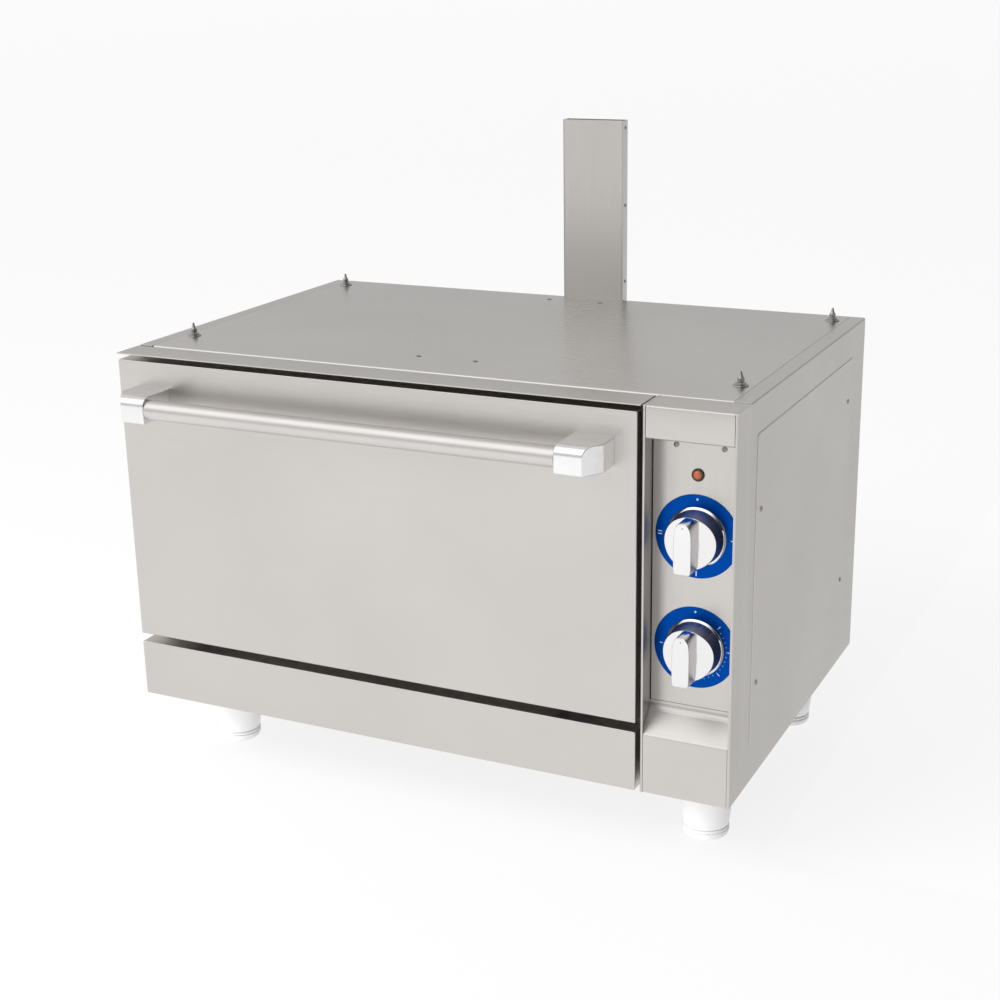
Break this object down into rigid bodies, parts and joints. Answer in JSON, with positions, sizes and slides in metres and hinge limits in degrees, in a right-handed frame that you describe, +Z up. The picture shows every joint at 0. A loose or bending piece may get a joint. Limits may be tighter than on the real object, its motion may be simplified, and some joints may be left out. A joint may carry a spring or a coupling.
{
  "type": "deck oven",
  "caption": "Low wide stainless oven with a drop-down front door and bar handle, side control console, rear flue, top locating pins and adjustable feet.",
  "frame": {"origin": "on the floor, under the middle of the overall box", "axes": "+X to the oven's right seen from the front, +Y from the door to the back, +Z up"},
  "size_m": [0.8028, 0.597, 0.796],
  "materials": {
    "satin_steel": "satin brushed stainless sheet",
    "polished_steel": "polished cast bracket",
    "knob_chrome": "satin chromed knob",
    "dial_blue": "printed blue dial ring with white marks",
    "foot_white": "white moulded plastic",
    "galvanised_steel": "galvanised sheet",
    "chamber_steel": "heat-tinted chamber steel",
    "chromed_wire": "chromed wire",
    "element_sheath": "oxidised alloy sheath",
    "mineral_wool": "mineral wool",
    "gasket_rubber": "silicone seal",
    "black_plastic": "black moulded plastic",
    "copper": "copper capillary",
    "amber_lens": "amber lens",
    "terminal_ceramic": "steatite terminal block",
    "zinc_steel": "zinc-plated fastener steel"
  },
  "bodies": {
    "oven_body": {"base_tray": "galvanised_steel", "side_panel_left": "satin_steel", "side_panel_right": "satin_steel", "side_cover_left": "satin_steel", "side_cover_right": "satin_steel", "top_plate": "satin_steel", "back_panel": "galvanised_steel", "front_frame": "satin_steel", "top_rail": "satin_steel", "plinth_panel": "satin_steel", "partition": "galvanised_steel", "console_shell": "satin_steel", "console_band": "satin_steel", "control_panel": "satin_steel", "console_ledge": "satin_steel", "dial_ring_upper": "dial_blue", "dial_ring_lower": "dial_blue", "selector_switch": "black_plastic", "thermostat": "black_plastic", "thermostat_bulb": "copper", "lamp_body": "black_plastic", "lamp_lens": "amber_lens", "oven_chamber": "chamber_steel", "chamber_wool": "mineral_wool", "sole_plate": "chamber_steel", "top_element": "element_sheath", "bottom_element": "element_sheath", "shelf_rack_left": "chromed_wire", "shelf_rack_right": "chromed_wire", "door_gasket": "gasket_rubber", "vent_pipe": "galvanised_steel", "hinge_bracket_left": "galvanised_steel", "hinge_bracket_right": "galvanised_steel", "foot_sleeves": "foot_white", "locating_pins": "zinc_steel", "flue_duct": "satin_steel", "flue_cover": "satin_steel", "flue_screws": "zinc_steel", "casing_screws": "zinc_steel", "cable_gland": "black_plastic", "terminal_block": "terminal_ceramic"},
    "door": {"door_outer_panel": "satin_steel", "door_inner_panel": "satin_steel", "door_wool": "mineral_wool", "handle_bar": "satin_steel", "handle_bracket_left": "polished_steel", "handle_bracket_right": "polished_steel", "handle_screws": "zinc_steel", "hinge_lugs": "galvanised_steel", "hinge_pins": "zinc_steel"},
    "selector_knob": {"knob_selector": "knob_chrome", "selector_shaft": "zinc_steel"},
    "thermostat_knob": {"knob_thermostat": "knob_chrome", "thermostat_shaft": "zinc_steel"},
    "shelf": {"oven_shelf": "chromed_wire"},
    "foot_front_left": {"foot_front_left": "foot_white"},
    "foot_front_right": {"foot_front_right": "foot_white"},
    "foot_back_left": {"foot_back_left": "foot_white"},
    "foot_back_right": {"foot_back_right": "foot_white"}
  },
  "joints": [
    {"name": "door_hinge", "type": "hinge", "parent": "oven_body", "child": "door", "pos_m": [-0.05525, -0.2315, 0.192], "axis": [1, 0, 0], "range_deg": [0, 90]},
    {"name": "selector_turn", "type": "hinge", "parent": "oven_body", "child": "selector_knob", "pos_m": [0.34625, -0.2445, 0.4025], "axis": [0, 1, 0], "range_deg": [0, 270]},
    {"name": "thermostat_turn", "type": "hinge", "parent": "oven_body", "child": "thermostat_knob", "pos_m": [0.34625, -0.2445, 0.2725], "axis": [0, 1, 0], "range_deg": [0, 270]},
    {"name": "shelf_slide", "type": "slide", "parent": "oven_body", "child": "shelf", "axis": [0, -1, 0], "range_m": [0, 0.012]},
    {"name": "foot_front_left_screw", "type": "slide", "parent": "oven_body", "child": "foot_front_left", "axis": [0, 0, -1], "range_m": [0, 0.03]},
    {"name": "foot_front_right_screw", "type": "slide", "parent": "oven_body", "child": "foot_front_right", "axis": [0, 0, -1], "range_m": [0, 0.03]},
    {"name": "foot_back_left_screw", "type": "slide", "parent": "oven_body", "child": "foot_back_left", "axis": [0, 0, -1], "range_m": [0, 0.03]},
    {"name": "foot_back_right_screw", "type": "slide", "parent": "oven_body", "child": "foot_back_right", "axis": [0, 0, -1], "range_m": [0, 0.03]}
  ]
}
